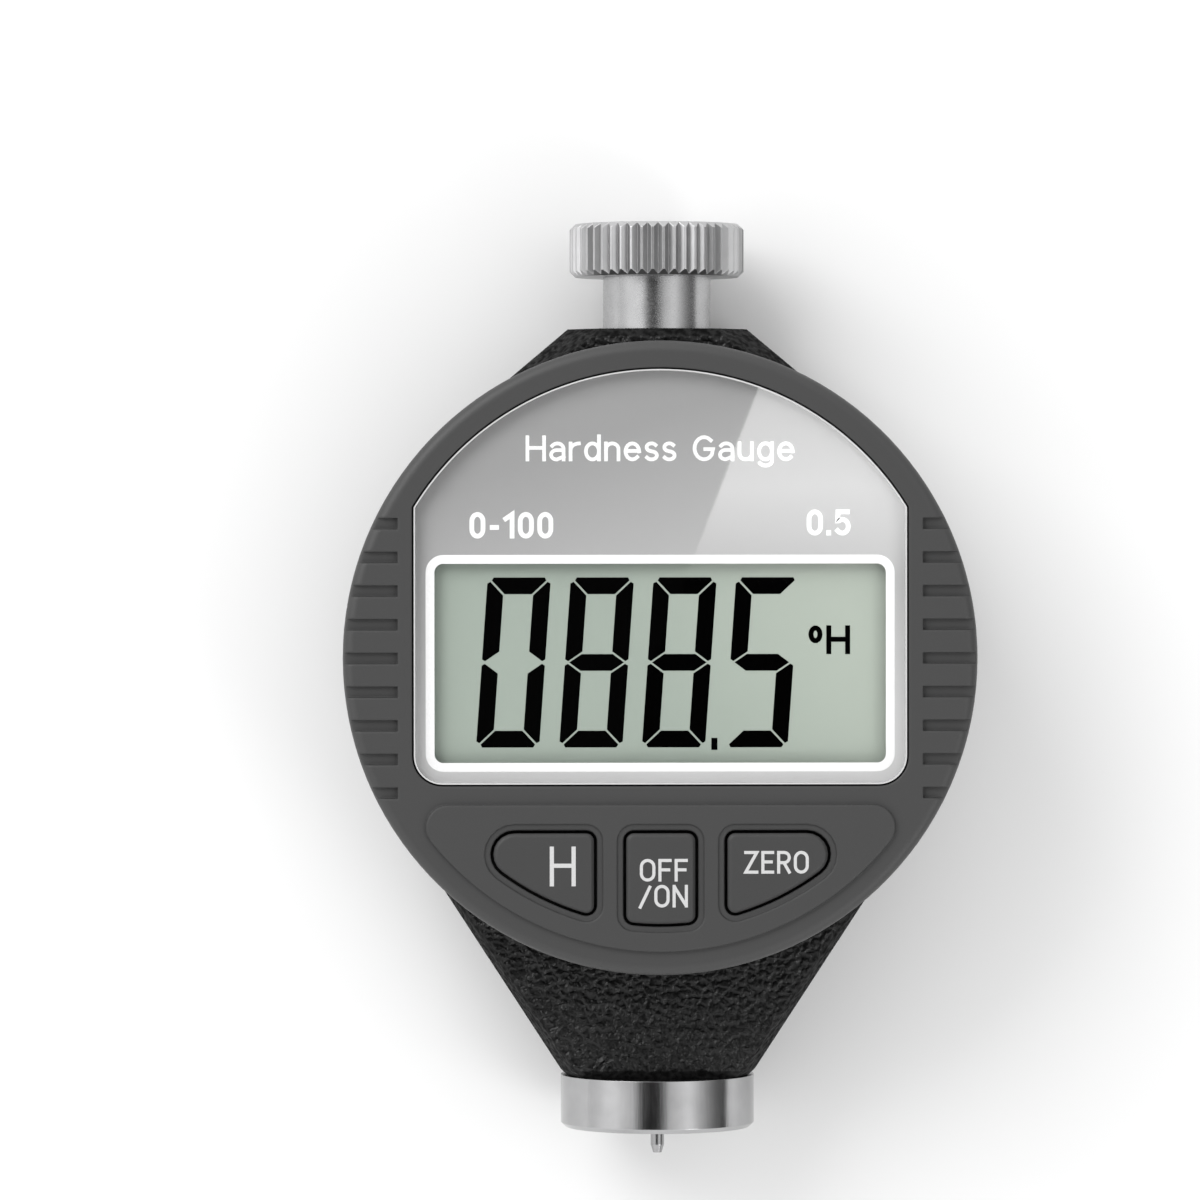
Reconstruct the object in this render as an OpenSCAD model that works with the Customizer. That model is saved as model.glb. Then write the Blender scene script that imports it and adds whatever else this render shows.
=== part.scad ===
// Digital hardness gauge for rubber, lying on its flat back.
// X runs across the face, Y along the measuring axis towards the knob, Z up out of the display.
// The origin is on the flat back, under the middle of the round housing.

/* [Front housing] */
// Diameter of the round front housing
housing_d = 57.6; // [57:0.1:64]
// Depth of the front housing, from the rear body to its face
housing_depth = 11; // [10:0.1:14]
// Rounding of the front rim
rim_r = 1.0; // [0.4:0.1:1.2]
// Side wall of the front housing
housing_wall = 1.8; // [1.4:0.1:2]
// Front wall of the front housing
front_wall = 2.2; // [2:0.1:2.6]

/* [Grip notches] */
// Notches on each side
notch_count = 9; // [5:1:11]
// Distance from notch to notch
notch_pitch = 3.05; // [2.4:0.05:3.4]
// Width of a notch
notch_w = 1.03; // [0.6:0.01:1.4]
// Length of a notch, inwards from the rim
notch_length = 5; // [3:0.1:5.4]
// Depth of a notch
notch_depth = 0.4; // [0.2:0.05:1]

/* [Rear body] */
// How far the housing stands out past the round part of the body
body_step = 0.4; // [0.1:0.1:1]
// Thickness of the body, back to front
body_t = 15.2; // [14.6:0.1:18]
// Rounding of the body's edges
body_edge = 1.0; // [0.4:0.1:1.6]
// Back wall of the body
back_wall = 2.4; // [2:0.1:2.8]
// Side wall round the body's pocket
side_wall = 3.2; // [2.6:0.1:4]
// How far the nose stands out past the round body
nose_out = 10.7; // [8:0.05:16]
// How far the neck stands out past the round body
neck_out = 1.8; // [0.6:0.1:6]
// Width of the neck
neck_w = 18; // [15:0.1:20]
// Edge rounding at the nose and the neck
end_edge = 0.7; // [0.2:0.1:1.5]
// Width of the front bevels at the nose
nose_bevel = 1.3; // [0.6:0.1:3]
// Width of the front bevels at the neck
neck_bevel = 3; // [0.6:0.1:4]
// Height of the front bevels
bevel_h = 3; // [1:0.1:4]
// Width and height of the back bevels at the nose and the neck
back_bevel = 5; // [1:0.1:6]

/* [Presser foot] */
// Diameter of the foot and of the nose above it
foot_d = 18; // [16:0.1:20]
// Height of the foot
foot_h = 4.85; // [4:0.05:8]
// Hole that the indenter passes through
foot_hole_d = 3; // [2.5:0.1:3.5]
// Chamfer round the face of the foot
foot_edge = 0.4; // [0.1:0.1:0.8]
// Gap under the foot when the gauge lies on its back
foot_lift = 0.2; // [0.1:0.1:1]

/* [Indenter and plunger] */
// Diameter of the indenter
indenter_d = 1.25; // [1.1:0.01:1.4]
// Flat at the indenter's tip
tip_d = 0.79; // [0.3:0.01:1]
// Full angle of the indenter's cone
tip_angle = 35; // [30:1:60]
// How far the indenter stands out, which is also its travel
indenter_reach = 2.5; // [1:0.1:3]
// Diameter of the spindle
spindle_d = 4; // [3.6:0.1:4.4]
// Outer diameter of the guide bushes
bush_d = 7; // [6.4:0.1:7.4]

/* [Measuring spring] */
// Wire diameter
spring_wire = 0.5; // [0.3:0.05:0.55]
// Mean diameter of the coil
spring_d = 3.2; // [2.9:0.05:3.4]
// Turns
spring_turns = 8; // [5:1:10]
// Length at rest
spring_length = 9; // [7:0.1:10]

/* [Stem and knob] */
// Diameter of the stem
stem_d = 10; // [9:0.1:11]
// Length of the stem, neck to knob
stem_h = 4.9; // [4:0.1:9]
// Diameter over the knurl
knob_d = 16.2; // [14:0.1:18]
// Height of the knob
knob_h = 4.9; // [3:0.1:8]
// Teeth round the knob
knurl_count = 50; // [30:1:60]
// Depth of the knurl
knurl_depth = 0.42; // [0.2:0.02:0.6]
// Chamfer on the knob's edges
knob_edge = 0.5; // [0.2:0.1:1]

/* [Display] */
// Housing rim to the lens's arc
lens_border = 2.6; // [2.2:0.1:4]
// Housing rim to the lens's straight sides
lens_side = 6.45; // [5.6:0.05:6.8]
// Housing centre to the lens's lower edge
lens_low = 11.45; // [10.8:0.05:12.2]
// Radius of the lens's lower corners
lens_corner = 2.6; // [1:0.1:5]
// Thickness of the lens
lens_t = 1.15; // [0.8:0.05:1.3]
// Lens edge to the viewing window, at its sides
window_side = 1.85; // [1.6:0.05:5]
// Height of the viewing window
window_h = 18.1; // [14:0.05:18.4]
// Corner radius of the viewing window
window_corner = 0.8; // [0.3:0.1:2]
// How far the window lies below the housing centre
window_drop = 0.48; // [0:0.02:0.8]
// Thickness of the display glass
lcd_t = 2.2; // [1.6:0.1:2.8]

/* [Keys] */
// Housing centre to the top of the key pad
pad_top = 13.3; // [13:0.1:14.2]
// Housing rim to the key pad's arc
pad_border = 2.2; // [1.8:0.1:3.4]
// How far the pad stands above the face
pad_rise = 0.3; // [0.1:0.05:0.6]
// Corner radius of the pad
pad_corner = 2; // [0.5:0.1:3]
// Housing centre to the top of the keys
key_top = 15.85; // [15.4:0.05:16.6]
// Housing rim to the lower edge of the keys
key_border = 4.75; // [4.2:0.05:6]
// Width of the middle key
power_key_w = 6.25; // [5:0.05:7]
// Housing centre line to the side keys
side_key_x = 6.05; // [5.6:0.05:7]
// Radius of the side keys' outer ends
side_key_end = 1.9; // [1.2:0.1:2.2]
// Gap round each key
key_gap = 0.28; // [0.2:0.02:0.5]
// How far the keys stand above the pad
key_rise = 0.35; // [0.1:0.05:1]
// Width of the sunk lip round each key
lip_w = 0.55; // [0.2:0.05:0.7]

/* [Battery] */
// Diameter of the button cell
cell_d = 11.6; // [9.5:0.1:11.6]
// Thickness of the button cell
cell_t = 5.4; // [3:0.1:5.4]
// Housing centre line to the cell
cell_x = 13.9; // [13.6:0.1:15]
// Housing centre to the cell, along the axis
cell_y = 1.5; // [-2:0.1:4]

/* [Screws] */
// Housing rim to the screw centres
screw_inset = 4; // [3.8:0.1:4.6]
// Thread diameter of the housing screws
screw_d = 2; // [1.6:0.1:2.2]
// Housing rim to the board screw centres
board_screw_inset = 6.2; // [5.8:0.1:7]
// Thread diameter of the board screws
board_screw_d = 1.6; // [1.2:0.1:1.8]

/* [Fits] */
// Running clearance, all round a sliding or turning fit
run_gap = 0.03; // [0.02:0.01:0.08]
// Clearance of pieces that are pressed or screwed in
seat_gap = 0.02; // [0.01:0.01:0.05]
// Clearance of pieces that lie in a recess
drop_gap = 0.15; // [0.1:0.01:0.25]

/* [Hidden] */
$fn = 48;
slice = 0.01;
over = 1;
corner_steps = 8;
arc_steps = 40;
wire_sides = 8;
turn_steps = 14;

// Levels above the flat back
axis_h = foot_d / 2 + foot_lift;
face_z = body_t + housing_depth;
wall_z = face_z - front_wall;
pad_z = face_z + pad_rise;
board_t = 1.2;
board_top = body_t + board_t;
mask_t = 0.15;
lens_sunk = 0.1;
lens_top = face_z - lens_sunk;
film_t = 0.03;
lens_seat = lens_top - lens_t - film_t - mask_t;
lcd_gap = 0.2;
lcd_top = wall_z - lcd_gap;
lcd_z = lcd_top - lcd_t;

// Round housing and body
housing_r = housing_d / 2;
inner_r = housing_r - housing_wall;
body_r = housing_r - body_step;
pocket_r = body_r - side_wall;
nose_reach = body_r + nose_out;
neck_reach = body_r + neck_out;

// Places along the measuring axis
foot_y = -nose_reach - foot_h;
spigot_d = 8;
spigot_h = 6;
foot_floor = 3;
foot_bore_d = spindle_d + 1;
thread_room = 0.3;
nose_bore_top = -nose_reach + spigot_h + thread_room;
bush_proud = 0.8;
low_bush_top = -pocket_r + bush_proud;
low_bush_bottom = nose_bore_top + seat_gap;
block_y = 11;
block_w = 15;
bush_h = 6;
stem_top = neck_reach + stem_h;
knob_spigot_d = 6;
knob_spigot_h = 3;
adjuster_h = 4.5;
adjuster_room = 0.6;
adjuster_top = stem_top - knob_spigot_h - adjuster_room;
spring_top = adjuster_top - adjuster_h;
spring_bottom = spring_top - spring_length;
spring_chamber_d = 5;
tail_gap = 0.2;
tail_d = spring_d - spring_wire - 2 * tail_gap;
tail_entry = 0.6;
tail_h = spring_length + tail_entry;
tail_bore_h = tail_entry + indenter_reach + thread_room;
spindle_lift = 0.4;
spindle_end = foot_y + foot_floor + spindle_lift;
indenter_grip = 4;

// Slider on the spindle
slider_gap = 0.3;
slider_t = 1;
slider_z = body_t - slider_gap - slider_t;
slider_w = 10;
slider_length = 20;
carrier_w = 9;
carrier_length = 14;
carrier_drop = 3.4;
carrier_y = -3;
carrier_z = axis_h - carrier_drop;
guide_pin_d = 2;
guide_gap = 0.1;
rib_w = 1.2;
rib_h = 2.2;
rib_length = 24;
guide_pin_lift = 0.4;
guide_pin_z = back_wall + guide_pin_lift;
clamp_screw_d = 2;
clamp_head_d = 3.4;
clamp_head_h = 0.9;
ring_t = 0.8;
ring_d = 7.4;
ring_groove = 0.4;
ring_mouth = 2.8;

// Display stack
lens_r = housing_r - lens_border;
lens_w = 2 * (housing_r - lens_side);
window_w = lens_w - 2 * window_side;
window_y = -window_drop;
window_room = 0.6;
lcd_margin = 1.6;
lcd_w = window_w + 2 * lcd_margin;
lcd_h = window_h + 2 * lcd_margin;
lcd_ledge = 1;
frame_wall = 1.4;
zebra_room_w = lcd_w - 2 * lcd_ledge;
zebra_room_h = lcd_h - 2 * lcd_ledge;
zebra_w = 2;
chip_w = 8;
chip_h = 1;

// Keys
key_r = housing_r - key_border;
key_corner = 0.7;
key_edge = 0.25;
key_flange = 0.65;
key_flange_t = 0.8;
key_seat_gap = 0.05;
key_post_d = 2.4;
key_z = pad_z + key_rise;
lip_depth = 0.14;
side_key_place = 10.2;
side_key_post_y = -18.9;
power_key_post_y = -20;
dome_d = 5;
dome_h = 0.7;
dome_t = 0.12;
dome_gap = 0.05;

// Battery bay
lid_d = cell_d + 4.6;
lid_recess = 1.5;
lid_t = 1.1;
lid_z = 0.3;
lid_hub_d = cell_d + 1;
lid_gap = 0.1;
lug_r = lid_hub_d / 2 + 1;
lug_t = 0.7;
lug_angle = 40;
lug_room = 6;
slot_w = 1.6;
slot_length = 9;
slot_depth = 0.6;
lug_z = back_wall + lid_gap;
lug_drop = 0.1;
lid_hub_top = lug_z + lug_t + lug_drop;
cell_z = lid_hub_top + lid_gap;
cell_gap = 0.35;
holder_wall = 1.3;
holder_mouth_d = 2 * lug_r + 2 * drop_gap;
holder_d = holder_mouth_d + 2 * holder_wall;
contact_room = 0.9;
contact_t = 0.25;
contact_w = 3;
holder_top_t = 1.2;
holder_ceiling = cell_z + cell_t + contact_room;
holder_step = lid_hub_top + lid_gap;
seal_d = lid_hub_d + 1.9;
seal_wire = 0.7;
seal_z = lid_recess - seal_wire / 2 - seat_gap;

// Screw places
screw_r = housing_r - screw_inset;
screw_angles = [45, 135, 218, 322];
screw_head_d = 1.9 * screw_d;
screw_head_h = 0.8 * screw_d;
screw_seat = 5;
pilot_room = 0.5;
screw_bite = 5;
column_d = screw_head_d + 2.6;
boss_d = screw_d + 2.4;
board_screw_r = housing_r - board_screw_inset;
board_screw_angle = 62.3;
board_screw_x = board_screw_r * cos(board_screw_angle);
board_screw_y = board_screw_r * sin(board_screw_angle);
board_boss_d = board_screw_d + 2.2;
board_head_d = 2 * board_screw_d;
board_head_h = 0.75 * board_screw_d;
board_screw_bite = 4;
drive_w = 0.5;

// Points along an arc
function arc(c, r, a0, a1, n) =
    [for (i = [0 : n]) c + r * [cos(a0 + (a1 - a0) * i / n), sin(a0 + (a1 - a0) * i / n)]];

// Stands a shape drawn along +Z on the measuring axis, with its base at y
module along_axis(y) translate([0, y, axis_h]) rotate([-90, 0, 0]) children();

// Puts copies on both sides of the axis
module both_sides() {
    children();
    mirror([1, 0, 0]) children();
}

// Puts a copy on each housing screw's line
module at_screws()
    for (a = screw_angles) translate([screw_r * cos(a), screw_r * sin(a), 0]) children();

module rounded_rect(w, h, r) {
    square([w - 2 * r, h], center = true);
    square([w, h - 2 * r], center = true);
    for (x = [-1, 1], y = [-1, 1]) translate([x * (w / 2 - r), y * (h / 2 - r)]) circle(r);
}

module tube(h, outer, inner) difference() {
    cylinder(h = h, d = outer);
    translate([0, 0, -over]) cylinder(h = h + 2 * over, d = inner);
}

// Rear body

// Half section of the round part, with both edges rounded
function body_section() = concat(
    [[0, 0]],
    arc([body_r - body_edge, body_edge], body_edge, -90, 0, 5),
    arc([body_r - body_edge, body_t - body_edge], body_edge, 0, 90, 5),
    [[0, body_t]]
);

// Half section of a bevelled end, drawn in by e
function end_half(w, bevel, e) = [
    [w / 2 - e - back_bevel, e], [w / 2 - e, e + back_bevel],
    [w / 2 - e, body_t - e - bevel_h], [w / 2 - e - bevel, body_t - e]
];

// Thin slice of a bevelled end
module end_slice(y, w, bevel, e) translate([0, y, 0]) rotate([90, 0, 0])
    linear_extrude(slice, center = true) both_sides() polygon(
        concat([[0, e]], end_half(w, bevel, e), [[0, body_t - e]])
    );

// One round casting that runs out to the nose below and the neck above
module body_outside() hull() {
    rotate_extrude($fn = 96) polygon(body_section());
    end_slice(-nose_reach + slice / 2, foot_d, nose_bevel, end_edge);
    end_slice(-nose_reach + end_edge, foot_d, nose_bevel, 0);
    end_slice(neck_reach - slice / 2, neck_w, neck_bevel, end_edge);
    end_slice(neck_reach - end_edge, neck_w, neck_bevel, 0);
}

// Open pocket behind the housing, less the bearing block, screw columns and guide ribs
module body_pocket() difference() {
    translate([0, 0, back_wall]) cylinder(h = body_t, r = pocket_r);
    translate([-block_w / 2, block_y, 0]) cube([block_w, housing_r, body_t]);
    at_screws() cylinder(h = body_t, d = column_d);
    both_sides() translate([guide_pin_d / 2 + guide_gap, carrier_y - rib_length / 2, 0])
        cube([rib_w, rib_length, back_wall + rib_h]);
}

module axis_bore(y0, y1, d) along_axis(y0) cylinder(h = y1 - y0, d = d);

// Stepped bores for the foot, both bushes, the spring and the stem
module axis_bores() {
    axis_bore(-nose_reach - over, nose_bore_top, spigot_d + 2 * seat_gap);
    axis_bore(nose_bore_top - over, low_bush_top, bush_d + 2 * seat_gap);
    axis_bore(block_y - over, block_y + bush_h, bush_d + 2 * seat_gap);
    axis_bore(block_y, neck_reach, spring_chamber_d);
    axis_bore(neck_reach - spigot_h, neck_reach + over, spigot_d + 2 * seat_gap);
}

// Round way in for the cell, with a sunk seat for the lid and two notches for its lugs
module battery_opening() translate([cell_x, cell_y, 0]) {
    translate([0, 0, -over]) cylinder(h = over + lid_recess, d = lid_d + 2 * drop_gap);
    translate([0, 0, -over]) cylinder(h = over + back_wall + over, d = lid_hub_d + 2 * drop_gap);
    for (a = [0, 180]) rotate([0, 0, a - (lug_angle + lug_room) / 2])
        rotate_extrude(angle = lug_angle + lug_room) square([lug_r + drop_gap, back_wall + over]);
}

module rear_body() color([0.13, 0.13, 0.14]) difference() {
    body_outside();
    body_pocket();
    axis_bores();
    battery_opening();
    translate([cell_x, cell_y, back_wall]) cylinder(h = body_t, d = holder_d + 2 * drop_gap);
    at_screws() {
        translate([0, 0, -over]) cylinder(h = over + screw_seat, d = screw_head_d + 2 * drop_gap);
        cylinder(h = body_t + over, d = screw_d + 2 * drop_gap);
    }
}

// Front housing

module housing_outside() translate([0, 0, body_t]) rotate_extrude() {
    square([housing_r - rim_r, housing_depth]);
    square([housing_r, housing_depth - rim_r]);
    translate([housing_r - rim_r, housing_depth - rim_r]) circle(rim_r);
}

// Lens outline, grown by d
module lens_shape(d) intersection() {
    circle(lens_r + d);
    translate([0, lens_r - lens_low]) rounded_rect(lens_w + 2 * d, 2 * (lens_r + d), lens_corner + d);
}

module window_shape(d) translate([0, window_y])
    rounded_rect(window_w + 2 * d, window_h + 2 * d, window_corner + d);

// Key pad outline: a circle's lower segment with rounded corners
function pad_points() =
    let (
        r = housing_r - pad_border,
        cy = pad_top + pad_corner,
        cx = sqrt(pow(r - pad_corner, 2) - cy * cy),
        a = atan2(cy, cx)
    )
    concat(
        arc([0, 0], r, 180 + a, 360 - a, arc_steps),
        arc([cx, -cy], pad_corner, -a, 90, corner_steps),
        arc([-cx, -cy], pad_corner, 90, 180 + a, corner_steps)
    );

// Lower corner circle of a key whose side wall is at x, inside an arc of radius r
function low_corner(x, r, rc) = [x, -sqrt(pow(r - rc, 2) - x * x)];

// Middle key outline, grown by d
function power_points(d) =
    let (
        rc = key_corner + d,
        r = key_r + d,
        x = power_key_w / 2 - key_corner,
        top = -key_top - key_corner,
        low = low_corner(x, r, rc),
        a = atan2(-low.y, low.x)
    )
    concat(
        arc([-x, low.y], rc, 180, 180 + a, corner_steps),
        arc([0, 0], r, 180 + a, 360 - a, corner_steps),
        arc([x, low.y], rc, -a, 0, corner_steps),
        arc([x, top], rc, 0, 90, corner_steps),
        arc([-x, top], rc, 90, 180, corner_steps)
    );

// Right-hand key outline, grown by d
function side_points(d) =
    let (
        rc = key_corner + d,
        re = side_key_end + d,
        r = key_r + d,
        x = side_key_x + key_corner,
        low = low_corner(x, r, rc),
        ey = key_top + side_key_end,
        ex = sqrt(pow(r - re, 2) - ey * ey),
        a = atan2(low.y, low.x),
        e = atan2(-ey, ex)
    )
    concat(
        arc(low, rc, -180, a, corner_steps),
        arc([0, 0], r, a, e, corner_steps),
        arc([ex, -ey], re, e, 90, corner_steps),
        arc([x, -key_top - key_corner], rc, 90, 180, corner_steps)
    );

// All three key outlines, grown by d
module key_shapes(d) {
    polygon(power_points(d));
    both_sides() polygon(side_points(d));
}

// Grip notches, open at the rim
module notches() both_sides() for (i = [0 : notch_count - 1])
    translate([housing_r - notch_length, (i - (notch_count - 1) / 2) * notch_pitch, face_z - notch_depth])
        translate([0, -notch_w / 2, 0]) cube([notch_length + over, notch_w, notch_depth + over]);

module housing_bosses() {
    at_screws() translate([0, 0, body_t]) cylinder(h = wall_z + slice - body_t, d = boss_d);
    both_sides() translate([board_screw_x, board_screw_y, board_top])
        cylinder(h = wall_z + slice - board_top, d = board_boss_d);
}

module front_housing() color([0.33, 0.33, 0.34]) difference() {
    union() {
        difference() {
            housing_outside();
            translate([0, 0, body_t - over]) cylinder(h = wall_z - body_t + over, r = inner_r);
        }
        intersection() {
            housing_bosses();
            housing_outside();
        }
        translate([0, 0, wall_z]) linear_extrude(pad_z - wall_z) polygon(pad_points());
    }
    translate([0, 0, lens_seat]) linear_extrude(face_z) lens_shape(drop_gap);
    translate([0, 0, wall_z - over]) linear_extrude(face_z) window_shape(window_room);
    translate([0, 0, wall_z - over]) linear_extrude(face_z) key_shapes(key_gap);
    translate([0, 0, pad_z - lip_depth]) linear_extrude(face_z) key_shapes(key_gap + lip_w);
    notches();
    at_screws() translate([0, 0, body_t - over])
        cylinder(h = over + screw_bite + pilot_room, d = screw_d + 2 * seat_gap);
    both_sides() translate([board_screw_x, board_screw_y, board_top - over])
        cylinder(h = over + board_screw_bite + pilot_room, d = board_screw_d + 2 * seat_gap);
}

// Display

module display_lens() color([0.85, 0.88, 0.9, 0.35])
    translate([0, 0, lens_top - lens_t]) linear_extrude(lens_t) lens_shape(0);

module display_mask() color([0.72, 0.73, 0.74]) translate([0, 0, lens_seat])
    linear_extrude(mask_t) difference() {
        lens_shape(0);
        window_shape(0);
    }

// Box over the window's centre, from z0 to z1
module window_box(w, h, z0, z1) translate([-w / 2, window_y - h / 2, z0]) cube([w, h, z1 - z0]);

module lcd_panel() color([0.66, 0.7, 0.65]) window_box(lcd_w, lcd_h, lcd_z, lcd_top);

// Frame that stands on the board and holds the glass on a ledge
module lcd_frame() color([0.1, 0.1, 0.1]) intersection() {
    difference() {
        window_box(lcd_w + 2 * frame_wall, lcd_h + 2 * frame_wall, board_top, lcd_top);
        window_box(lcd_w + 2 * drop_gap, lcd_h + 2 * drop_gap, lcd_z, face_z);
        window_box(zebra_room_w, zebra_room_h, body_t, face_z);
        at_screws() cylinder(h = face_z, d = boss_d + 2 * drop_gap);
    }
    cylinder(h = face_z, r = inner_r - drop_gap);
}

// Two elastomer strips that carry the signals from the board to the glass
module zebra_strips() color([0.85, 0.55, 0.6]) for (s = [-1, 1])
    translate([0, s * (zebra_room_h / 2 - drop_gap - zebra_w / 2), 0])
        window_box(zebra_room_w - 2 * drop_gap, zebra_w, board_top, lcd_z);

module circuit_board() color([0.1, 0.35, 0.2]) difference() {
    translate([0, 0, body_t]) cylinder(h = board_t, r = inner_r - drop_gap);
    at_screws() translate([0, 0, body_t - over]) cylinder(h = board_t + 2 * over, d = boss_d + 2 * drop_gap);
    both_sides() translate([board_screw_x, board_screw_y, body_t - over])
        cylinder(h = board_t + 2 * over, d = board_screw_d + 2 * drop_gap);
}

module controller_chip() color([0.08, 0.08, 0.08]) window_box(chip_w, chip_w, board_top, board_top + chip_h);

// Keys

// Cap with a chamfered top edge and a flange behind the front wall
module key_cap(full, inset, flange) {
    flange_top = wall_z - key_seat_gap;
    translate([0, 0, flange_top - key_flange_t]) linear_extrude(key_flange_t) polygon(flange);
    translate([0, 0, flange_top - slice]) linear_extrude(key_z - key_edge - flange_top + slice) polygon(full);
    hull() {
        translate([0, 0, key_z - key_edge - slice]) linear_extrude(slice) polygon(full);
        translate([0, 0, key_z - slice]) linear_extrude(slice) polygon(inset);
    }
}

module key_post(x, y) {
    bottom = board_top + dome_h + dome_gap;
    translate([x, y, bottom]) cylinder(h = wall_z - key_seat_gap - bottom, d = key_post_d);
}

module side_key(post_x) {
    key_cap(side_points(0), side_points(-key_edge), side_points(key_flange));
    key_post(post_x, side_key_post_y);
}

module hold_key() color([0.36, 0.36, 0.37]) mirror([1, 0, 0]) side_key(side_key_place);

module zero_key() color([0.36, 0.36, 0.37]) side_key(side_key_place);

module power_key() color([0.36, 0.36, 0.37]) {
    key_cap(power_points(0), power_points(-key_edge), power_points(key_flange));
    key_post(0, power_key_post_y);
}

// Sprung metal dome under a key's post
module dome(x, y) {
    r = (pow(dome_d / 2, 2) + dome_h * dome_h) / (2 * dome_h);
    translate([x, y, board_top]) intersection() {
        translate([0, 0, dome_h - r]) difference() {
            sphere(r);
            sphere(r - dome_t);
        }
        cylinder(h = dome_h + over, d = dome_d + over);
    }
}

module hold_dome() color([0.8, 0.8, 0.78]) dome(-side_key_place, side_key_post_y);

module power_dome() color([0.8, 0.8, 0.78]) dome(0, power_key_post_y);

module zero_dome() color([0.8, 0.8, 0.78]) dome(side_key_place, side_key_post_y);

// Foot, plunger and spring

module presser_foot() color([0.7, 0.7, 0.7]) along_axis(foot_y) difference() {
    union() {
        rotate_extrude() polygon([
            [0, 0], [foot_d / 2 - foot_edge, 0], [foot_d / 2, foot_edge], [foot_d / 2, foot_h], [0, foot_h]
        ]);
        cylinder(h = foot_h + spigot_h, d = spigot_d);
    }
    translate([0, 0, -over]) cylinder(h = foot_h + over, d = foot_hole_d);
    translate([0, 0, foot_floor]) cylinder(h = foot_h + spigot_h, d = foot_bore_d);
}

module lower_bush() color([0.72, 0.58, 0.3]) along_axis(low_bush_bottom)
    tube(low_bush_top - low_bush_bottom, bush_d, spindle_d + 2 * run_gap);

module upper_bush() color([0.72, 0.58, 0.3]) along_axis(block_y)
    tube(bush_h, bush_d, spindle_d + 2 * run_gap);

module spindle() color([0.75, 0.75, 0.76]) difference() {
    union() {
        along_axis(spindle_end) cylinder(h = spring_bottom - spindle_end, d = spindle_d);
        along_axis(spring_bottom - slice) cylinder(h = tail_h + slice, d = tail_d);
    }
    along_axis(spindle_end - over) cylinder(h = indenter_grip + over, d = indenter_d + 2 * seat_gap);
    along_axis(low_bush_top) tube(ring_t + slice, spindle_d + over, spindle_d - 2 * ring_groove);
}

module indenter() color([0.6, 0.6, 0.62]) along_axis(foot_y - indenter_reach) {
    cone_h = (indenter_d - tip_d) / 2 / tan(tip_angle / 2);
    length = spindle_end + indenter_grip - foot_y + indenter_reach;
    cylinder(h = cone_h, d1 = tip_d, d2 = indenter_d);
    translate([0, 0, cone_h]) cylinder(h = length - cone_h, d = indenter_d);
}

// Open ring in the spindle's groove, which stops the plunger on the lower bush
module stop_ring() color([0.3, 0.3, 0.32]) along_axis(low_bush_top) difference() {
    tube(ring_t, ring_d, spindle_d - 2 * ring_groove + 2 * seat_gap);
    translate([-ring_mouth / 2, 0, -over]) cube([ring_mouth, ring_d, ring_t + 2 * over]);
}

// Block clamped on the spindle, which carries the slider past the board
module slider_carrier() color([0.72, 0.58, 0.3]) difference() {
    translate([-carrier_w / 2, carrier_y - carrier_length / 2, carrier_z])
        cube([carrier_w, carrier_length, slider_z - carrier_z]);
    along_axis(carrier_y - carrier_length) cylinder(h = 2 * carrier_length, d = spindle_d + 2 * seat_gap);
    translate([-carrier_w, carrier_y, axis_h]) rotate([0, 90, 0])
        cylinder(h = carrier_w, d = clamp_screw_d + 2 * seat_gap);
    translate([0, carrier_y, carrier_z - over])
        cylinder(h = axis_h - spindle_d / 2 - carrier_z + over, d = guide_pin_d + 2 * seat_gap);
}

module slider_board() color([0.1, 0.35, 0.2])
    translate([-slider_w / 2, carrier_y - slider_length / 2, slider_z])
        cube([slider_w, slider_length, slider_t]);

module clamp_screw() color([0.6, 0.6, 0.62]) translate([0, carrier_y, axis_h]) rotate([0, -90, 0]) {
    translate([0, 0, spindle_d / 2 + seat_gap])
        cylinder(h = (carrier_w - spindle_d) / 2 - seat_gap + slice, d = clamp_screw_d);
    difference() {
        translate([0, 0, carrier_w / 2]) cylinder(h = clamp_head_h, d = clamp_head_d);
        translate([0, 0, carrier_w / 2 + clamp_head_h])
            cube([drive_w, clamp_head_d + over, clamp_head_h], center = true);
    }
}

// Pin that runs between the body's ribs and keeps the slider square to the board
module guide_pin() color([0.6, 0.6, 0.62]) translate([0, carrier_y, guide_pin_z])
    cylinder(h = axis_h - spindle_d / 2 - seat_gap - guide_pin_z, d = guide_pin_d);

// Helix swept with a round wire, from one end of the spring to the other
function coil_point(i, j) =
    let (
        t = i / (spring_turns * turn_steps),
        a = 360 * spring_turns * t,
        r = spring_d / 2 + spring_wire / 2 * cos(360 * j / wire_sides),
        z = spring_wire / 2 + (spring_length - spring_wire) * t + spring_wire / 2 * sin(360 * j / wire_sides)
    )
    [r * cos(a), r * sin(a), z];

module measuring_spring() color([0.55, 0.55, 0.56]) along_axis(spring_bottom) {
    last = spring_turns * turn_steps;
    n = wire_sides;
    polyhedron(
        points = [for (i = [0 : last], j = [0 : n - 1]) coil_point(i, j)],
        faces = concat(
            [[for (j = [0 : n - 1]) j]],
            [for (i = [0 : n : (last - 1) * n], j = [0 : n - 1]) [i + j, i + n + j, i + (j + 1) % n]],
            [for (i = [n : n : last * n], j = [0 : n - 1]) [i + j, i + (j + 1) % n, i - n + (j + 1) % n]],
            [[for (j = [n - 1 : -1 : 0]) last * n + j]]
        )
    );
}

// Screwed plug that sets the spring's load and guides the spindle's tail
module spring_adjuster() color([0.72, 0.58, 0.3]) along_axis(spring_top) difference() {
    cylinder(h = adjuster_h, d = knob_spigot_d);
    translate([0, 0, -over]) cylinder(h = over + tail_bore_h, d = tail_d + 2 * drop_gap);
    translate([0, 0, adjuster_h]) cube([knob_spigot_d + over, drive_w, 2 * drive_w], center = true);
}

// Stem and knob

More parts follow.
